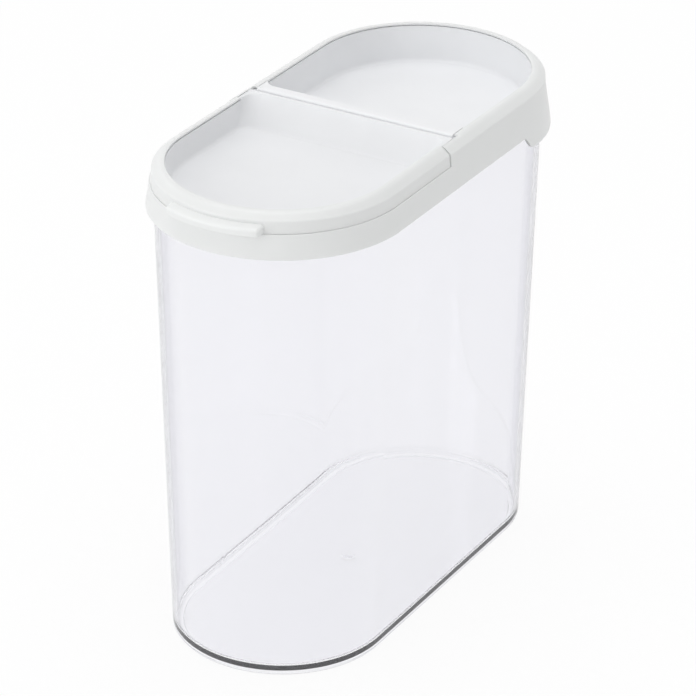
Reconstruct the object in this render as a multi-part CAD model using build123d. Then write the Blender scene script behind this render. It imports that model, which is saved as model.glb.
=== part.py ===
from build123d import *
import math
import os

# Cereal container with a flip spout: a clear jar, a lift-off lid and a hinged flap.
# Millimetres. +Z is up, -Y is the pouring end, and z = 0 is the surface it stands on.

# Outline shared by all the pieces: two half circles joined by straight sides along Y
STRAIGHT = 95.2

# Jar
JAR_HEIGHT = 172.0
BASE_RADIUS = 39.6
MOUTH_RADIUS = 43.8
JAR_WALL = 1.8
JAR_FLOOR = 3.0
FLOOR_ROUND = 2.0
BASE_ROUND = 1.5
FOOT_WIDTH = 2.4
FOOT_LIFT = 0.8
GATE_RADIUS = 3.0
GATE_RISE = 0.4
# Share of the wall taken by the round on each edge of the rim
RIM_SHARE = 0.45

# Lid heights, counted up or down from the jar's rim
LID_RISE = 8.6
BROW_RISE = 6.2
SEAM_RISE = 1.7
KNEE_DROP = 4.4
HEM_DROP = 7.0
LIP_DROP = 12.0
PLUG_DROP = 7.5

# Lid profile, counted outwards from the jar's mouth
BROW_OUT = 0.8
WAIST_OUT = 1.2
KNEE_OUT = 2.1
LIP_OUT = 3.2
TOP_FLAT = 2.1
CROWN_ROUND = 3.0
BROW_ROUND = 0.9
SEAM_ROUND = 0.35

# Lid walls
RING_WALL = 1.15
TOP_WALL = 1.7
LIP_WALL = 0.7
RIB_DEPTH = 4.2
CORE_WALL = 1.1
WINDOW_LAP = 1.3
FLANGE_OUT = 0.45
FLANGE_WALL = 1.2
LIP_EASE = 7.0
LIP_AHEAD = 0.6

# Rear window well in the inner lid
REAR_WELL = 14.6
REAR_DRAFT = 0.8
REAR_EDGE = 4.2
WELL_CORNER = 5.0
WELL_ROUND = 1.5

# Flap window tray
FLAP_WELL = 9.6
FLAP_DRAFT = 1.8
RAMP_FOOT = -12.0
RAMP_HEAD = -3.6
TRAY_WALL = 1.2
FLAP_SINK = 0.2
FLAP_SPLIT = -10.0

# Hinge
BARREL_RADIUS = 2.2
PIN_RADIUS = 1.3
HINGE_Y = -2.7
BAR_ROUND = 1.0

# Thumb tab
TAB_WIDTH = 36.0
TAB_OUT = 4.4
TAB_HEIGHT = 2.7
TAB_FALL = 0.7
TAB_NOSE = 1.1
TAB_ROUND = 0.5
TAB_CORNER = 1.2

# Pour opening and seals
LEDGE_DROP = 3.8
LEDGE_WALL = 1.2
LEDGE_WIDTH = 1.9
SPOUT_EDGE = -14.2
SPOUT_CORNER = 4.0
SPOUT_SEAL_WIDTH = 1.2
SPOUT_SEAL_THICK = 1.3
SEAL_WALL = 0.45
SEAL_LIP = 0.75
SEAL_LIPS = 2
SEAL_HEIGHT = 4.0

# Clearances
SEAT_GAP = 0.1
PLUG_GAP = 1.0
RING_FIT = 0.15
SEAM_GAP = 0.1
FLAP_INSET = 0.35
SPLIT_GAP = 0.45
SIDE_GAP = 0.3
SHADOW_GAP = 0.35
WEB_GAP = 0.5
BARREL_GAP = 0.4
PIN_FIT = 0.05
TRAY_FIT = 0.05
SEAL_FIT = 0.05

# Worked out from the values above
HALF = STRAIGHT / 2
TOP = JAR_HEIGHT + LID_RISE
BROW = JAR_HEIGHT + BROW_RISE
SEAM = JAR_HEIGHT + SEAM_RISE
FLAP_FOOT = SEAM + SEAM_GAP
FLAP_END = FLAP_SPLIT - SPLIT_GAP
DECK = JAR_HEIGHT + SEAT_GAP
PLUG_FOOT = JAR_HEIGHT - PLUG_DROP
LIP_FOOT = JAR_HEIGHT - LIP_DROP
HEM = JAR_HEIGHT - HEM_DROP
LEDGE = JAR_HEIGHT - LEDGE_DROP
PLUG_RADIUS = MOUTH_RADIUS - JAR_WALL - PLUG_GAP
SPOUT_RADIUS = PLUG_RADIUS - CORE_WALL
WINDOW_RADIUS = PLUG_RADIUS - WINDOW_LAP
RING_BORE = PLUG_RADIUS + RING_FIT
TRAY_FLOOR = TOP - FLAP_WELL
TRAY_TOP = TOP - FLAP_SINK
TRAY_SLOPE = FLAP_DRAFT / FLAP_WELL
TRAY_SIDE = TRAY_WALL * math.hypot(1, TRAY_SLOPE)
FLAP_BORE = WINDOW_RADIUS + TRAY_SIDE + TRAY_FIT
HINGE_Z = TOP - BARREL_RADIUS
BAR_FRONT = HINGE_Y + BARREL_RADIUS + BARREL_GAP
BAR_REAR = REAR_EDGE - CORE_WALL
WINDOW_TOP = TOP - LIP_WALL - SHADOW_GAP
LIP_END = HALF - LIP_AHEAD
LIP_START = LIP_END - LIP_EASE
REACH = 2 * (STRAIGHT + JAR_HEIGHT)
# The origin lies midway between the tab's edge and the rear lip's edge
TAB_RADIUS = MOUTH_RADIUS + TAB_OUT
CENTRE_SHIFT = (TAB_OUT - LIP_OUT) / 2


def slab(y_low, y_high, z_low, z_high):
    """Block across the whole width between two Y and two Z limits."""
    block = Box(REACH, y_high - y_low, z_high - z_low)
    return Pos(0, (y_low + y_high) / 2, (z_low + z_high) / 2) * block


def window(r_low, r_high, z_low, z_high):
    """Rectangle in a radius-height section."""
    box = Rectangle(r_high - r_low, z_high - z_low)
    return Pos((r_low + r_high) / 2, (z_low + z_high) / 2) * box


def racetrack(section):
    """Carry a radius-height section round the outline."""
    upright = Plane.XZ * section
    side = extrude(upright, amount=HALF, both=True)
    rear = revolve(Pos(0, HALF, 0) * upright, Axis((0, HALF, 0), (0, 0, 1)), 180)
    return side + mirror(side, about=Plane.YZ) + rear + mirror(rear, about=Plane.XZ)


def column(radius, z_low, z_high):
    """Straight-sided solid of the outline at one radius."""
    outline = SlotCenterToCenter(STRAIGHT, 2 * radius, rotation=90)
    return Pos(0, 0, z_low) * extrude(outline, amount=z_high - z_low)


def d_outline(radius, edge, corner):
    """Front part of the outline, closed by a straight edge across at y = edge."""
    slot = SlotCenterToCenter(STRAIGHT, 2 * radius, rotation=90)
    front = slot & Pos(0, edge - REACH / 2) * Rectangle(REACH, REACH)
    return fillet(front.vertices().sort_by(Axis.Y)[-2:], corner)


def d_well(low, high, z_low, z_high):
    """Solid between two D outlines, each given as (radius, edge, corner)."""
    return loft([Pos(0, 0, z_low) * d_outline(*low), Pos(0, 0, z_high) * d_outline(*high)], ruled=True)


def jar_radius(z):
    """Outer radius of the tapered jar at a height."""
    return BASE_RADIUS + (MOUTH_RADIUS - BASE_RADIUS) * z / JAR_HEIGHT


def jar():
    foot = BASE_RADIUS - BASE_ROUND - FOOT_WIDTH
    rim_round = RIM_SHARE * JAR_WALL
    corners = [
        ((0, FOOT_LIFT), 0),
        ((foot, FOOT_LIFT), 0),
        ((foot, 0), 0),
        ((BASE_RADIUS, 0), BASE_ROUND),
        ((MOUTH_RADIUS, JAR_HEIGHT), rim_round),
        ((MOUTH_RADIUS - JAR_WALL, JAR_HEIGHT), rim_round),
        ((jar_radius(JAR_FLOOR) - JAR_WALL, JAR_FLOOR), FLOOR_ROUND),
        ((0, JAR_FLOOR), 0),
    ]
    points = [point for point, _ in corners]
    rounds = [radius for _, radius in corners]
    section = make_face(FilletPolyline(*points, radius=rounds, close=True))
    ball = (GATE_RADIUS**2 + GATE_RISE**2) / (2 * GATE_RISE)
    gate = Pos(0, 0, JAR_FLOOR + GATE_RISE - ball) * Sphere(ball)
    return racetrack(section) + (gate & slab(-REACH, REACH, JAR_FLOOR, REACH))


def corner_at(face, place):
    """Corner of a flat face that lies nearest to a place."""
    return face.vertices().sort_by_distance(place)[0]


def lid_area(inset):
    """Section inside the lid's outer line, moved in by inset."""
    edge = MOUTH_RADIUS - inset
    brow = (edge + BROW_OUT, BROW)
    waist = (edge + WAIST_OUT, SEAM)
    knee = (edge + KNEE_OUT, JAR_HEIGHT - KNEE_DROP)
    foot = (edge + LIP_OUT, LIP_FOOT)
    crown = (edge - TOP_FLAT, TOP)
    flare = ThreePointArc(brow, waist, knee)
    skirt = TangentArc(knee, foot, tangent=flare % 1)
    back = Polyline(brow, crown, (0, TOP), (0, LIP_FOOT), foot)
    area = make_face([flare, skirt, back])
    area = fillet(corner_at(area, brow), BROW_ROUND)
    return fillet(corner_at(area, crown), CROWN_ROUND)


def hem_trim():
    """What is cut away below the skirt's hem, with an S-shaped rise to the rear lip."""
    ease = LIP_EASE / 2
    below = LIP_FOOT - LID_RISE
    start = (LIP_START, HEM)
    end = (LIP_END, LIP_FOOT)
    rise = Bezier(start, (LIP_START + ease, HEM), (LIP_END - ease, LIP_FOOT), end)
    rest = Polyline(end, (LIP_END, below), (-REACH / 2, below), (-REACH / 2, HEM), start)
    return extrude(Plane.YZ * make_face([rise, rest]), amount=REACH / 2, both=True)


def hinge_rod(radius, half_length):
    """Cylinder along the hinge axis."""
    return Pos(0, HINGE_Y, HINGE_Z) * Rot(0, 90, 0) * Cylinder(radius, 2 * half_length)


def lid_ring():
    outer = lid_area(0)
    inner = lid_area(RING_WALL)
    rib = RING_BORE + RING_WALL
    section = outer & window(RING_BORE, REACH, LIP_FOOT, TOP)
    section += outer & window(WINDOW_RADIUS, rib, TOP - LIP_WALL, TOP)
    section -= inner & window(0, REACH, LIP_FOOT, DECK)
    below_seam = section & window(0, REACH, LIP_FOOT, SEAM)
    below_seam = fillet(corner_at(below_seam, (MOUTH_RADIUS + WAIST_OUT, SEAM)), SEAM_ROUND)
    channel = inner & window(rib, REACH, DECK, TOP - TOP_WALL)
    ring = racetrack(section) & slab(FLAP_SPLIT, REACH, 0, REACH)
    ring += racetrack(below_seam) & slab(-REACH, FLAP_SPLIT, 0, REACH)
    ring -= hem_trim()
    ring -= racetrack(channel) & slab(FLAP_SPLIT + RING_WALL, REACH, 0, REACH)
    ring -= column(RING_BORE, SEAM, REACH) & slab(-REACH, BAR_FRONT + BAR_ROUND, 0, REACH)
    return ring - hinge_rod(PIN_RADIUS + PIN_FIT, RING_BORE + RING_WALL)


def ramp_y(z, depth):
    """Y of the line that runs parallel to the flap's ramp, depth below its face."""
    run = RAMP_HEAD - RAMP_FOOT
    rise = TRAY_TOP - TRAY_FLOOR
    return RAMP_FOOT + (z - TRAY_FLOOR) * run / rise + depth * math.hypot(run, rise) / rise


def inner_web():
    """Ledge, slope, hinge trough and cross bar, as one folded wall from side to side."""
    depth = TRAY_WALL + WEB_GAP
    trough = HINGE_Z - BARREL_RADIUS - BARREL_GAP
    bar_inner = BAR_FRONT + CORE_WALL
    slope_low = ramp_y(LEDGE, depth)
    slope_high = ramp_y(trough, depth)
    under = ramp_y(LEDGE - LEDGE_WALL, depth + CORE_WALL)
    under_high = ramp_y(trough - CORE_WALL, depth + CORE_WALL)
    points = [
        (SPOUT_EDGE, LEDGE),
        (slope_low, LEDGE),
        (slope_high, trough),
        (BAR_FRONT, trough),
        (BAR_FRONT, TOP),
        (REAR_EDGE, TOP),
        (REAR_EDGE, TOP - TOP_WALL),
        (BAR_REAR, TOP - TOP_WALL),
        (bar_inner, TOP - TOP_WALL),
        (bar_inner, trough - CORE_WALL),
        (under_high, trough - CORE_WALL),
        (under, LEDGE - LEDGE_WALL),
        (SPOUT_EDGE, LEDGE - LEDGE_WALL),
    ]
    fold = make_face(Polyline(*points, close=True))
    fold = fillet(corner_at(fold, (BAR_FRONT, TOP)), BAR_ROUND)
    return extrude(Plane.YZ * fold, amount=REACH / 2, both=True)


def inner_lid():
    web = inner_web()
    core = column(PLUG_RADIUS, PLUG_FOOT, TOP)
    core += column(PLUG_RADIUS + FLANGE_OUT, PLUG_FOOT, PLUG_FOOT + FLANGE_WALL)
    opening = Pos(0, 0, PLUG_FOOT) * extrude(
        d_outline(SPOUT_RADIUS - LEDGE_WIDTH, SPOUT_EDGE, SPOUT_CORNER), amount=REACH
    )
    ledge = column(SPOUT_RADIUS, LEDGE - LEDGE_WALL, LEDGE) & slab(-REACH, RAMP_FOOT, 0, REACH)
    hollow = column(SPOUT_RADIUS, PLUG_FOOT, TOP) & slab(-REACH, BAR_REAR, 0, REACH)
    core -= hollow - web - (ledge - opening)
    core -= slab(-REACH, BAR_FRONT + BAR_ROUND, SEAM, REACH) - web
    rear_low = (WINDOW_RADIUS - REAR_DRAFT, -REAR_EDGE - REAR_DRAFT, WELL_CORNER)
    rear_high = (WINDOW_RADIUS, -REAR_EDGE, WELL_CORNER)
    well = d_well(rear_low, rear_high, TOP - REAR_WELL, TOP)
    well = fillet(well.faces().sort_by(Axis.Z)[0].edges(), WELL_ROUND)
    core -= Rot(0, 0, 180) * well
    groove = column(REACH / 2, WINDOW_TOP, TOP) - column(WINDOW_RADIUS - SIDE_GAP, 0, TOP)
    return core - groove


def flap_window():
    low_radius = WINDOW_RADIUS - FLAP_DRAFT
    high_radius = WINDOW_RADIUS - FLAP_SINK * TRAY_SLOPE
    foot = TRAY_FLOOR - TRAY_WALL
    foot_radius = low_radius - TRAY_WALL * TRAY_SLOPE + TRAY_SIDE
    outer_low = (foot_radius, ramp_y(foot, TRAY_WALL), TRAY_WALL)
    outer_high = (high_radius + TRAY_SIDE, ramp_y(TRAY_TOP, TRAY_WALL), TRAY_WALL)
    tray = d_well(outer_low, outer_high, foot, TRAY_TOP)
    tray &= slab(-REACH, HINGE_Y, 0, REACH)
    tray += hinge_rod(BARREL_RADIUS, RING_BORE - SIDE_GAP)
    well_low = (low_radius, RAMP_FOOT, WELL_CORNER)
    well_high = (high_radius, RAMP_HEAD, WELL_CORNER)
    well = d_well(well_low, well_high, TRAY_FLOOR, TRAY_TOP)
    tray -= fillet(well.faces().sort_by(Axis.Z)[0].edges(), WELL_ROUND)
    tray -= slab(-REACH, FLAP_END, WINDOW_TOP, TOP)
    return tray + hinge_rod(PIN_RADIUS, RING_BORE + RING_WALL - RING_FIT)


def tab_plan():
    """Plan of the thumb tab, whose front runs round the end at an even distance from the rim."""
    front = Pos(0, -HALF) * Circle(TAB_RADIUS)
    plan = front & Pos(0, -HALF - REACH / 2) * Rectangle(TAB_WIDTH, REACH)
    return fillet(plan.vertices().sort_by(Axis.Y)[:2], TAB_CORNER)


def thumb_tab():
    """Bar at the middle of the flap's front, whose top falls a little on its way outwards."""
    top = FLAP_FOOT + TAB_HEIGHT
    points = [
        (MOUTH_RADIUS, FLAP_FOOT),
        (TAB_RADIUS + TAB_OUT, FLAP_FOOT),
        (TAB_RADIUS + TAB_OUT, top - TAB_FALL),
        (MOUTH_RADIUS, top + TAB_FALL),
    ]
    upright = Pos(0, -HALF, 0) * (Plane.XZ * make_face(Polyline(*points, close=True)))
    wedge = revolve(upright, Axis((0, -HALF, 0), (0, 0, -1)), 180)
    bar = wedge & extrude(tab_plan(), amount=REACH)
    # The longest edge of the top and of the underside is the root, inside the rim's wall
    crest = bar.faces().sort_by(Axis.Z)[-1].edges().sort_by(SortBy.LENGTH)[:-1]
    bar = fillet(crest, TAB_NOSE)
    sole = bar.faces().sort_by(Axis.Z)[0].edges().sort_by(SortBy.LENGTH)[:-1]
    return fillet(sole, TAB_ROUND)


def flap_rim():
    outer = lid_area(FLAP_INSET)
    inner = lid_area(FLAP_INSET + RING_WALL)
    rib = FLAP_BORE + RING_WALL
    section = outer & window(FLAP_BORE, REACH, FLAP_FOOT, TOP)
    section += outer & window(WINDOW_RADIUS, rib, TOP - LIP_WALL, TOP)
    channel = inner & window(rib, REACH, FLAP_FOOT, TOP - TOP_WALL)
    channel += window(0, rib, FLAP_FOOT, TOP - RIB_DEPTH)
    rim = racetrack(section) & slab(-REACH, FLAP_END, 0, REACH)
    rim -= racetrack(channel) & slab(-REACH, FLAP_END - RING_WALL, 0, REACH)
    return rim + thumb_tab()


def lid_seal():
    low = PLUG_FOOT + FLANGE_WALL + SEAL_FIT
    bore = PLUG_RADIUS + SEAL_FIT
    band = bore + SEAL_WALL
    tip = bore + SEAL_LIP
    pitch = SEAL_HEIGHT / SEAL_LIPS
    flank = pitch / 4
    points = [(bore, low), (band, low)]
    for number in range(SEAL_LIPS):
        middle = low + pitch * number + pitch / 2
        points += [(band, middle - flank), (tip, middle), (band, middle + flank)]
    points += [(band, low + SEAL_HEIGHT), (bore, low + SEAL_HEIGHT)]
    return racetrack(make_face(Polyline(*points, close=True)))


def spout_seal():
    inset = LEDGE_WIDTH - SIDE_GAP
    outer = (SPOUT_RADIUS - SIDE_GAP, SPOUT_EDGE + inset, SPOUT_CORNER + inset)
    width = SPOUT_SEAL_WIDTH
    inner = (outer[0] - width, outer[1] - width, outer[2] - width)
    ring = d_outline(*outer) - d_outline(*inner)
    return Pos(0, 0, LEDGE) * extrude(ring, amount=SPOUT_SEAL_THICK)


PIECES = {
    "jar": jar,
    "lid_ring": lid_ring,
    "inner_lid": inner_lid,
    "lid_seal": lid_seal,
    "spout_seal": spout_seal,
    "flap_rim": flap_rim,
    "flap_window": flap_window,
}

os.makedirs("parts", exist_ok=True)
for name, make in PIECES.items():
    export_step(Pos(0, CENTRE_SHIFT, 0) * make(), f"parts/{name}.step")
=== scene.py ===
import math

import bpy
from mathutils import Matrix, Vector


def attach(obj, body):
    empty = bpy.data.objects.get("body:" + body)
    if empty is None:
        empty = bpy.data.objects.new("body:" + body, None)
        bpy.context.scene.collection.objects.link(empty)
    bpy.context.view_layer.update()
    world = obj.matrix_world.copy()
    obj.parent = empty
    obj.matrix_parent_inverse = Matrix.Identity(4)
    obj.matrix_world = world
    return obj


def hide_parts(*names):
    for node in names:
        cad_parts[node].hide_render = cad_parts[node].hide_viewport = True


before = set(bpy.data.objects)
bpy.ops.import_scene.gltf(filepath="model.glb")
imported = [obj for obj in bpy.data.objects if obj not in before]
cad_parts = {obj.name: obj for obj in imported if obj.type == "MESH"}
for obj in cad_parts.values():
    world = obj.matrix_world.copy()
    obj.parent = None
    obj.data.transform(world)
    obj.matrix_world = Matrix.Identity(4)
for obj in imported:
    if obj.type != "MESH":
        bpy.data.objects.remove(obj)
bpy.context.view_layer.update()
scene = bpy.context.scene
scene.view_settings.view_transform = "Standard"


# Camera. A long lens, above and to the right of the pouring end, so that the
# whole jar is seen from high enough to look into both windows of the lid.
AZIMUTH = math.radians(30.414)
ELEVATION = math.radians(27.248)
ROLL = math.radians(0.345)
DISTANCE = 1.334871
TARGET = Vector((0.000918, -0.003558, 0.09))
LENS_MM = 192.976
SENSOR_MM = 36.0

outward = Vector((
    math.cos(ELEVATION) * math.sin(AZIMUTH),
    -math.cos(ELEVATION) * math.cos(AZIMUTH),
    math.sin(ELEVATION),
))
level_right = (-outward).cross(Vector((0, 0, 1))).normalized()
level_up = outward.cross(level_right)
right = level_right * math.cos(ROLL) + level_up * math.sin(ROLL)
up = level_up * math.cos(ROLL) - level_right * math.sin(ROLL)
lens = bpy.data.cameras.new("view_camera")
lens.lens = LENS_MM
lens.sensor_width = SENSOR_MM
camera = bpy.data.objects.new("view_camera", lens)
pose = Matrix((right, up, outward)).transposed().to_4x4()
camera.matrix_world = Matrix.Translation(TARGET + outward * DISTANCE) @ pose
scene.collection.objects.link(camera)
scene.camera = camera


# Floor. A flat sheet of white card under the jar. What looks at it or through the
# clear wall sees plain white, and a small share is lit card that takes the shadow.
FLOOR_HALF = 4.0
CARD_WHITE = "#FEFEFE"
CARD_LIT_SHARE = 0.1
PLAIN_WHITE = "#FFFFFF"
PLAIN_LEVEL = 1.0


def linear(hex_colour):
    """Linear RGBA from an sRGB hex colour."""
    channels = [int(hex_colour[i:i + 2], 16) / 255 for i in (1, 3, 5)]
    turned = [c / 12.92 if c <= 0.04045 else ((c + 0.055) / 1.055) ** 2.4
              for c in channels]
    return (*turned, 1.0)


def new_material(name):
    """Empty node material and its tree."""
    material = bpy.data.materials.new(name)
    material.use_nodes = True
    material.node_tree.nodes.clear()
    return material, material.node_tree


def add(tree, kind, settings=None, values=None, links=None):
    """Add a node. values and links go to input sockets, by name or number."""
    node = tree.nodes.new(kind)
    for key, value in (settings or {}).items():
        setattr(node, key, value)
    for key, value in (values or {}).items():
        node.inputs[key].default_value = value
    for key, source in (links or {}).items():
        tree.links.new(source, node.inputs[key])
    return node


def seen_share(tree):
    """1 for a ray from the camera, off a gloss or through clear plastic, else 0."""
    path = add(tree, "ShaderNodeLightPath")
    either = add(tree, "ShaderNodeMath", {"operation": "MAXIMUM"}, None, {
        0: path.outputs["Is Camera Ray"], 1: path.outputs["Is Glossy Ray"]})
    every = add(tree, "ShaderNodeMath", {"operation": "MAXIMUM"}, None, {
        0: either.outputs[0], 1: path.outputs["Is Transmission Ray"]})
    return every.outputs[0]


card, tree = new_material("white_card")
lit = add(tree, "ShaderNodeBsdfDiffuse", None, {"Color": linear(CARD_WHITE)})
bright = add(tree, "ShaderNodeEmission", None, {
    "Color": linear(PLAIN_WHITE), "Strength": PLAIN_LEVEL})
share = add(tree, "ShaderNodeMath", {"operation": "MULTIPLY"},
            {1: 1.0 - CARD_LIT_SHARE}, {0: seen_share(tree)})
mixed = add(tree, "ShaderNodeMixShader", None, None, {
    0: share.outputs[0], 1: lit.outputs[0], 2: bright.outputs[0]})
add(tree, "ShaderNodeOutputMaterial", None, None, {"Surface": mixed.outputs[0]})

sheet = bpy.data.meshes.new("floor_card")
corners = [(x * FLOOR_HALF, y * FLOOR_HALF, 0.0)
           for x, y in ((-1, -1), (1, -1), (1, 1), (-1, 1))]
sheet.from_pydata(corners, [], [(0, 1, 2, 3)])
sheet.materials.append(card)
floor = bpy.data.objects.new("floor_card", sheet)
scene.collection.objects.link(floor)


# Studio light. White all round, with large soft lamps above and to the left of the
# pouring end, so the right-hand side of the lid falls a little darker.
ROOM_LEVEL = 0.7
# Place and width in metres, power in watts
LAMPS = {
    "overhead_softbox": ((-0.1, 0.0, 2.0), 1.6, 10.0),
    "left_softbox": ((-0.9, -2.1, 0.9), 1.4, 12.5),
}

world = bpy.data.worlds.new("studio")
world.use_nodes = True
tree = world.node_tree
tree.nodes.clear()
room = add(tree, "ShaderNodeBackground", None, {
    "Color": linear(PLAIN_WHITE), "Strength": ROOM_LEVEL})
backdrop = add(tree, "ShaderNodeBackground", None, {
    "Color": linear(PLAIN_WHITE), "Strength": PLAIN_LEVEL})
mixed = add(tree, "ShaderNodeMixShader", None, None, {
    0: seen_share(tree), 1: room.outputs[0], 2: backdrop.outputs[0]})
add(tree, "ShaderNodeOutputWorld", None, None, {"Surface": mixed.outputs[0]})
scene.world = world

for name, (place, width, power) in LAMPS.items():
    lamp = bpy.data.lights.new(name, "AREA")
    lamp.shape = "DISK"
    lamp.size = width
    lamp.energy = power
    holder = bpy.data.objects.new(name, lamp)
    aim = (TARGET - Vector(place)).to_track_quat("-Z", "Y").to_matrix().to_4x4()
    holder.matrix_world = Matrix.Translation(place) @ aim
    scene.collection.objects.link(holder)


# Jar. One-piece injection moulding in clear styrenic plastic, tapering to a foot
# ring, with the gate's small raised mark on the floor. Its section is carried round an
# outline of two half circles and two straight sides.
STRAIGHT_MM = 95.2
CENTRE_Y_MM = 0.6
JAR_HEIGHT_MM = 172.0
BASE_RADIUS_MM = 39.6
MOUTH_RADIUS_MM = 43.8
WALL_MM = 1.8
FLOOR_TOP_MM = 3.0
FOOT_LIFT_MM = 0.8
FOOT_INSIDE_MM = 35.7
FOOT_ROUND_MM = 0.3
BASE_ROUND_MM = 1.5
MOUTH_ROUND_MM = 0.8
FLOOR_ROUND_MM = 2.0
GATE_RADIUS_MM = 3.0
GATE_RISE_MM = 0.4
# Half circles of the line that the section is carried along, and how fine they are
PATH_RADIUS_MM = 0.5
ARC_STEPS = 48
# Steps in each round of the section, and the flat strip that keeps its ends crisp
ROUND_STEPS = 12
SUPPORT_MM = 0.35
GATE_STEPS = 128
WELD_MM = 0.02
SHARP_EDGE = math.radians(10)

# The inside of the wall where it meets the floor, on the drafted side
draft = (MOUTH_RADIUS_MM - BASE_RADIUS_MM) / JAR_HEIGHT_MM
floor_radius_mm = round(BASE_RADIUS_MM + draft * FLOOR_TOP_MM - WALL_MM, 3)
# Radius, height and rounding of each corner, from under the floor to its top face
jar_corners = (
    (0.0, FOOT_LIFT_MM, 0.0),
    (FOOT_INSIDE_MM, FOOT_LIFT_MM, 0.0),
    (FOOT_INSIDE_MM, 0.0, FOOT_ROUND_MM),
    (BASE_RADIUS_MM, 0.0, BASE_ROUND_MM),
    (MOUTH_RADIUS_MM, JAR_HEIGHT_MM, MOUTH_ROUND_MM),
    (MOUTH_RADIUS_MM - WALL_MM, JAR_HEIGHT_MM, MOUTH_ROUND_MM),
    (floor_radius_mm, FLOOR_TOP_MM, FLOOR_ROUND_MM),
    (0.0, FLOOR_TOP_MM, 0.0),
)


def rounded(corners):
    """Points of a line with rounded corners and a support point beside each round."""
    points = []
    for number, (r, z, radius) in enumerate(corners):
        corner = Vector((r, z))
        if radius == 0:
            points.append(corner)
            continue
        before = (Vector(corners[number - 1][:2]) - corner).normalized()
        after = (Vector(corners[number + 1][:2]) - corner).normalized()
        half = before.angle(after) / 2
        reach = radius / math.tan(half)
        centre = corner + (before + after).normalized() * radius / math.sin(half)
        start = corner + before * reach - centre
        end = corner + after * reach - centre
        turn = start.angle(end)
        points.append(corner + before * (reach + SUPPORT_MM))
        for step in range(ROUND_STEPS + 1):
            along = step / ROUND_STEPS
            points.append(centre + (start * math.sin((1 - along) * turn)
                                    + end * math.sin(along * turn)) / math.sin(turn))
        points.append(corner + after * (reach + SUPPORT_MM))
    return points


def jar_tree(name):
    """Node group that carries the jar's section round its outline, with the gate."""
    tree = bpy.data.node_groups.new(name, "GeometryNodeTree")
    for label, kind in (
        ("Section", "Geometry"), ("Straight", "Float"), ("Path Radius", "Float"),
        ("Arc Steps", "Int"), ("Weld", "Float"), ("Sharp Edge", "Float"),
        ("Gate Ball", "Float"), ("Gate Steps", "Int"), ("Gate Height", "Float"),
        ("Block Height", "Float"), ("Material", "Material"),
    ):
        tree.interface.new_socket(
            label, in_out="INPUT", socket_type="NodeSocket" + kind)
    tree.interface.new_socket(
        "Body", in_out="OUTPUT", socket_type="NodeSocketGeometry")
    given = add(tree, "NodeGroupInput").outputs

    # The walls: a rectangle with rounded corners, swept with the section
    width = add(tree, "ShaderNodeMath", {"operation": "MULTIPLY"}, {1: 2.0},
                {0: given["Path Radius"]}).outputs[0]
    length = add(tree, "ShaderNodeMath", {"operation": "ADD"}, None,
                 {0: given["Straight"], 1: width}).outputs[0]
    rectangle = add(tree, "GeometryNodeCurvePrimitiveQuadrilateral", None, None,
                    {"Width": width, "Height": length})
    outline = add(tree, "GeometryNodeFilletCurve", {"mode": "POLY"},
                  {"Limit Radius": True}, {
                      "Curve": rectangle.outputs[0], "Radius": given["Path Radius"],
                      "Count": given["Arc Steps"]})
    section = add(tree, "GeometryNodeMeshToCurve", None, None,
                  {"Mesh": given["Section"]})
    swept = add(tree, "GeometryNodeCurveToMesh", None, None, {
        "Curve": outline.outputs[0], "Profile Curve": section.outputs[0]})
    welded = add(tree, "GeometryNodeMergeByDistance", None, None, {
        "Geometry": swept.outputs[0], "Distance": given["Weld"]})
    walls = add(tree, "GeometryNodeFlipFaces", None, None,
                {"Mesh": welded.outputs[0]})

    # The gate's mark: the cap of a ball, from inside the floor upwards
    ball = add(tree, "GeometryNodeMeshUVSphere", None, None, {
        "Segments": given["Gate Steps"], "Rings": given["Gate Steps"],
        "Radius": given["Gate Ball"]})
    ball_place = add(tree, "ShaderNodeCombineXYZ", None, None,
                     {"Z": given["Gate Height"]})
    placed_ball = add(tree, "GeometryNodeTransform", None, None, {
        "Geometry": ball.outputs[0], "Translation": ball_place.outputs[0]})
    block = add(tree, "GeometryNodeMeshCube", None, None, {"Size": given["Gate Ball"]})
    block_place = add(tree, "ShaderNodeCombineXYZ", None, None,
                      {"Z": given["Block Height"]})
    placed_block = add(tree, "GeometryNodeTransform", None, None, {
        "Geometry": block.outputs[0], "Translation": block_place.outputs[0]})
    cap = add(tree, "GeometryNodeMeshBoolean",
              {"operation": "INTERSECT", "solver": "EXACT"})
    tree.links.new(placed_ball.outputs[0], cap.inputs["Mesh 2"])
    tree.links.new(placed_block.outputs[0], cap.inputs["Mesh 2"])
    marked = add(tree, "GeometryNodeMeshBoolean",
                 {"operation": "UNION", "solver": "EXACT"})
    tree.links.new(walls.outputs[0], marked.inputs["Mesh 2"])
    tree.links.new(cap.outputs[0], marked.inputs["Mesh 2"])

    # Smooth all over, apart from edges that turn more than the sharp edge
    smooth = add(tree, "GeometryNodeSetShadeSmooth", None, None,
                 {"Geometry": marked.outputs[0]})
    angle = add(tree, "GeometryNodeInputMeshEdgeAngle")
    sharp = add(tree, "FunctionNodeCompare",
                {"data_type": "FLOAT", "operation": "GREATER_THAN"}, None,
                {0: angle.outputs["Unsigned Angle"], 1: given["Sharp Edge"]})
    creased = add(tree, "GeometryNodeSetShadeSmooth", {"domain": "EDGE"},
                  {"Shade Smooth": False},
                  {"Geometry": smooth.outputs[0], "Selection": sharp.outputs[0]})
    real = add(tree, "GeometryNodeRealizeInstances", None, None,
               {"Geometry": creased.outputs[0]})
    coloured = add(tree, "GeometryNodeSetMaterial", None, None, {
        "Geometry": real.outputs[0], "Material": given["Material"]})
    add(tree, "NodeGroupOutput", None, None, {"Body": coloured.outputs[0]})
    return tree


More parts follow.
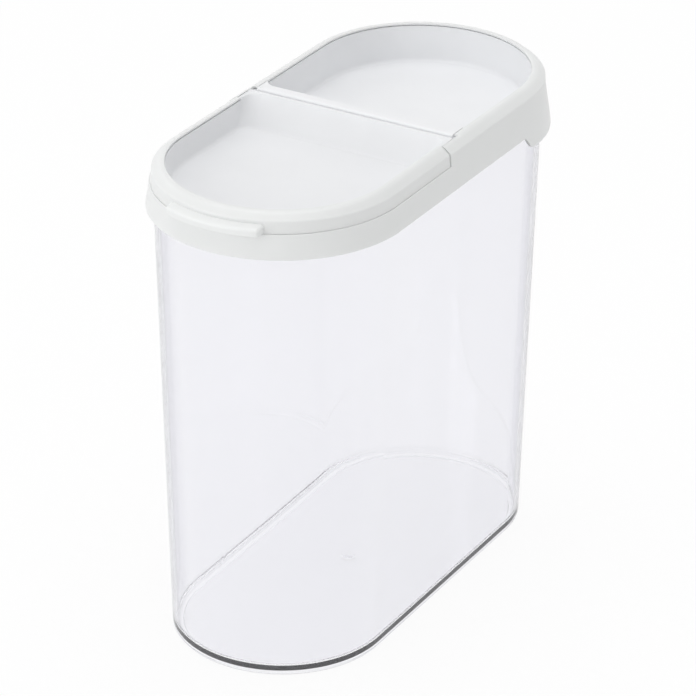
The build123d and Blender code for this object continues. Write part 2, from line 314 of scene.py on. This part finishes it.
def grown(holder, tree, values):
    """Plain mesh that a node group makes from an object, which is then taken away."""
    maker = holder.modifiers.new(tree.name, "NODES")
    maker.node_group = tree
    for item in tree.interface.items_tree:
        if item.in_out == "INPUT" and item.name in values:
            maker[item.identifier] = values[item.name]
    shown = holder.evaluated_get(bpy.context.evaluated_depsgraph_get())
    mesh = bpy.data.meshes.new_from_object(shown)
    bpy.data.objects.remove(holder)
    mesh.materials.clear()
    mesh.materials.append(values["Material"])
    mesh.polygons.foreach_set("material_index", [0] * len(mesh.polygons))
    return mesh


# Clear styrenic plastic from a polished mould: glassy, with a trace of haze. Painted
# shade darkens it to a faint violet-grey where the eye looks along the wall instead of
# through it.
STYRENIC_IOR = 1.57
CLEAR_SHARE = 0.965
CLEAR_ROUGHNESS = (0.0, 0.015)
FACE_ON = "#FDFDFF"
# Colour of the painted shade towards the jar's edges
EDGE_PAINTED_SHADE = "#D8D8E0"
# One minus the cosine of the angle of view, where the painted edge shade starts and
# where it is full
GRAZING_FROM = 0.55
GRAZING_FULL = 0.85
SHADOW_THROUGH = "#FAFAFB"
DEPTH_COLOUR = "#E4E4EA"
ABSORB_PER_M = 45.0
# Slow waves that the melt leaves in the wall
FLOW_LINE_MM = 60.0
RIPPLE_MM = 0.4
RIPPLE_STRENGTH = 0.02
# Noise keeps mostly between these two values
NOISE_LOW = 0.3
NOISE_HIGH = 0.7

clear_plastic, tree = new_material("clear_styrenic_plastic")
facing = add(tree, "ShaderNodeLayerWeight", None, {"Blend": 0.5})
grazing = add(tree, "ShaderNodeMapRange", None, {
    "From Min": GRAZING_FROM, "From Max": GRAZING_FULL},
    {"Value": facing.outputs["Facing"]})
# Painted shade: the base colour turns violet-grey at grazing angles, so the edges
# darken
painted_edge_shade = add(tree, "ShaderNodeMix", {"data_type": "RGBA"}, {
    "A": linear(FACE_ON), "B": linear(EDGE_PAINTED_SHADE)}, {"Factor": grazing.outputs[0]})
place = add(tree, "ShaderNodeTexCoord").outputs["Object"]
flow = add(tree, "ShaderNodeTexNoise", None, {
    "Scale": 1000 / FLOW_LINE_MM}, {"Vector": place})
ripple = add(tree, "ShaderNodeBump", None, {
    "Strength": RIPPLE_STRENGTH, "Distance": RIPPLE_MM / 1000},
    {"Height": flow.outputs[0]})
polish = add(tree, "ShaderNodeMapRange", None, {
    "From Min": NOISE_LOW, "From Max": NOISE_HIGH,
    "To Min": CLEAR_ROUGHNESS[0], "To Max": CLEAR_ROUGHNESS[1]},
    {"Value": flow.outputs[0]})
clear = add(tree, "ShaderNodeBsdfPrincipled", None, {
    "Transmission Weight": CLEAR_SHARE, "IOR": STYRENIC_IOR}, {
    "Base Color": painted_edge_shade.outputs["Result"], "Roughness": polish.outputs[0],
    "Normal": ripple.outputs[0]})
open_way = add(tree, "ShaderNodeBsdfTransparent", None, {
    "Color": linear(SHADOW_THROUGH)})
path = add(tree, "ShaderNodeLightPath")
mixed = add(tree, "ShaderNodeMixShader", None, None, {
    0: path.outputs["Is Shadow Ray"], 1: clear.outputs[0], 2: open_way.outputs[0]})
depth = add(tree, "ShaderNodeVolumeAbsorption", None, {
    "Color": linear(DEPTH_COLOUR), "Density": ABSORB_PER_M})
add(tree, "ShaderNodeOutputMaterial", None, None, {
    "Surface": mixed.outputs[0], "Volume": depth.outputs[0]})

gate_ball_mm = (GATE_RADIUS_MM ** 2 + GATE_RISE_MM ** 2) / (2 * GATE_RISE_MM)
gate_height_mm = FLOOR_TOP_MM + GATE_RISE_MM - gate_ball_mm
# The block that keeps the ball's cap starts halfway down the floor
block_height_mm = (FLOOR_TOP_MM + gate_ball_mm) / 2
line = [Vector((r - PATH_RADIUS_MM, -z, 0)) / 1000 for r, z in rounded(jar_corners)]
section = bpy.data.meshes.new("jar_section")
section.from_pydata(line, [(i, i + 1) for i in range(len(line) - 1)], [])
holder = bpy.data.objects.new("jar_section", section)
scene.collection.objects.link(holder)
jar_mesh = grown(holder, jar_tree("carry_round_outline"), {
    "Straight": STRAIGHT_MM / 1000, "Path Radius": PATH_RADIUS_MM / 1000,
    "Arc Steps": ARC_STEPS, "Weld": WELD_MM / 1000, "Sharp Edge": SHARP_EDGE,
    "Gate Ball": gate_ball_mm / 1000, "Gate Steps": GATE_STEPS,
    "Gate Height": gate_height_mm / 1000, "Block Height": block_height_mm / 1000,
    "Material": clear_plastic})
jar_mesh.transform(Matrix.Translation((0, CENTRE_Y_MM / 1000, 0)))

jar = bpy.data.objects.new("jar_body", jar_mesh)
scene.collection.objects.link(jar)
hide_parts("jar")
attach(jar, "jar")


# White lid mouldings: the ring with its skirt, which sits on the jar's mouth, and
# the flap's rim with the thumb tab. Injection-moulded polypropylene, satin, and a
# little light soaks in at the edges.
POLYPROPYLENE_IOR = 1.49
WHITE_DARK = "#E4E6E5"
WHITE_LIGHT = "#EAEBEB"
WHITE_ROUGHNESS = (0.32, 0.4)
WHITE_GRAIN_STRENGTH = 0.08
SOAK_SHARE = 0.35
SOAK_MM = 2.0
EVEN_SOAK = (1.0, 1.0, 1.0)
MOTTLE_MM = 18.0
# The mould's own grain is finer: it is drawn this coarse so that it shows
GRAIN_MM = 0.8
GRAIN_DEPTH_MM = 0.1


def dress(node, material):
    """Give a part of the frame its material in every slot."""
    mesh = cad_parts[node].data
    if not mesh.materials:
        mesh.materials.append(material)
    for index in range(len(mesh.materials)):
        mesh.materials[index] = material


white_plastic, tree = new_material("white_satin_polypropylene")
place = add(tree, "ShaderNodeTexCoord").outputs["Object"]
mottle = add(tree, "ShaderNodeTexNoise", None, {
    "Scale": 1000 / MOTTLE_MM}, {"Vector": place})
grain = add(tree, "ShaderNodeTexNoise", None, {
    "Scale": 1000 / GRAIN_MM}, {"Vector": place})
shade = add(tree, "ShaderNodeMix", {"data_type": "RGBA"}, {
    "A": linear(WHITE_DARK), "B": linear(WHITE_LIGHT)}, {"Factor": mottle.outputs[0]})
relief = add(tree, "ShaderNodeBump", None, {
    "Strength": WHITE_GRAIN_STRENGTH, "Distance": GRAIN_DEPTH_MM / 1000},
    {"Height": grain.outputs[0]})
satin = add(tree, "ShaderNodeMapRange", None, {
    "From Min": NOISE_LOW, "From Max": NOISE_HIGH,
    "To Min": WHITE_ROUGHNESS[0], "To Max": WHITE_ROUGHNESS[1]},
    {"Value": mottle.outputs[0]})
body = add(tree, "ShaderNodeBsdfPrincipled", None, {
    "IOR": POLYPROPYLENE_IOR, "Subsurface Weight": SOAK_SHARE,
    "Subsurface Scale": SOAK_MM / 1000, "Subsurface Radius": EVEN_SOAK}, {
    "Base Color": shade.outputs["Result"], "Normal": relief.outputs[0],
    "Roughness": satin.outputs[0]})
add(tree, "ShaderNodeOutputMaterial", None, None, {"Surface": body.outputs[0]})
dress("lid_ring", white_plastic)
dress("flap_rim", white_plastic)


# Rear window: the inner lid with its well and cross bar, set inside the ring.
# Moulded in unpigmented polypropylene, so cloudy and a little see-through.
MILKY_SHARE = 0.05
MILKY_ROUGHNESS = (0.28, 0.38)
MILKY_GRAIN_STRENGTH = 0.05
REAR_DARK = "#EFF0F2"
REAR_LIGHT = "#F5F6F8"


def milky_polypropylene(name, dark, light):
    """Cloudy unpigmented polypropylene whose colour drifts between two tones."""
    material, tree = new_material(name)
    place = add(tree, "ShaderNodeTexCoord").outputs["Object"]
    cloud = add(tree, "ShaderNodeTexNoise", None, {
        "Scale": 1000 / MOTTLE_MM}, {"Vector": place})
    grain = add(tree, "ShaderNodeTexNoise", None, {
        "Scale": 1000 / GRAIN_MM}, {"Vector": place})
    shade = add(tree, "ShaderNodeMix", {"data_type": "RGBA"}, {
        "A": linear(dark), "B": linear(light)}, {"Factor": cloud.outputs[0]})
    relief = add(tree, "ShaderNodeBump", None, {
        "Strength": MILKY_GRAIN_STRENGTH, "Distance": GRAIN_DEPTH_MM / 1000},
        {"Height": grain.outputs[0]})
    sheen = add(tree, "ShaderNodeMapRange", None, {
        "From Min": NOISE_LOW, "From Max": NOISE_HIGH,
        "To Min": MILKY_ROUGHNESS[0], "To Max": MILKY_ROUGHNESS[1]},
        {"Value": cloud.outputs[0]})
    body = add(tree, "ShaderNodeBsdfPrincipled", None, {
        "IOR": POLYPROPYLENE_IOR, "Transmission Weight": MILKY_SHARE,
        "Subsurface Weight": SOAK_SHARE, "Subsurface Scale": SOAK_MM / 1000,
        "Subsurface Radius": EVEN_SOAK}, {
        "Base Color": shade.outputs["Result"], "Normal": relief.outputs[0],
        "Roughness": sheen.outputs[0]})
    add(tree, "ShaderNodeOutputMaterial", None, None, {"Surface": body.outputs[0]})
    return material


dress("inner_lid", milky_polypropylene("natural_polypropylene", REAR_DARK, REAR_LIGHT))


# Flap's window: the shallow tray with its ramp, which turns on pins moulded at its
# rear corners. The same plastic, painted a little darker as shade from the hollow of
# the pour opening under it.
# Both tones are darker than the rear window's: painted shade from the hollow below
SHADED_TRAY_DARK = "#E9EAEC"
SHADED_TRAY_LIGHT = "#EFF0F2"

dress("flap_window",
      milky_polypropylene("natural_polypropylene_painted_shade", SHADED_TRAY_DARK, SHADED_TRAY_LIGHT))


# Seals: the two-lipped ring round the plug and the flat ring round the pour
# opening. Soft elastomer moulded white, matt and faintly dusty to the eye.
ELASTOMER_IOR = 1.45
ELASTOMER_ROUGHNESS = (0.55, 0.7)
SEAL_DARK = "#E9EAEA"
SEAL_LIGHT = "#F1F2F2"
BLOOM_MM = 3.0
BLOOM_DETAIL = 4.0

soft_elastomer, tree = new_material("white_soft_elastomer")
place = add(tree, "ShaderNodeTexCoord").outputs["Object"]
bloom = add(tree, "ShaderNodeTexNoise", None, {
    "Scale": 1000 / BLOOM_MM, "Detail": BLOOM_DETAIL}, {"Vector": place})
shade = add(tree, "ShaderNodeMix", {"data_type": "RGBA"}, {
    "A": linear(SEAL_DARK), "B": linear(SEAL_LIGHT)}, {"Factor": bloom.outputs[0]})
matt = add(tree, "ShaderNodeMapRange", None, {
    "From Min": NOISE_LOW, "From Max": NOISE_HIGH,
    "To Min": ELASTOMER_ROUGHNESS[0], "To Max": ELASTOMER_ROUGHNESS[1]},
    {"Value": bloom.outputs[0]})
body = add(tree, "ShaderNodeBsdfPrincipled", None, {"IOR": ELASTOMER_IOR}, {
    "Base Color": shade.outputs["Result"], "Roughness": matt.outputs[0]})
add(tree, "ShaderNodeOutputMaterial", None, None, {"Surface": body.outputs[0]})
dress("lid_seal", soft_elastomer)
dress("spout_seal", soft_elastomer)
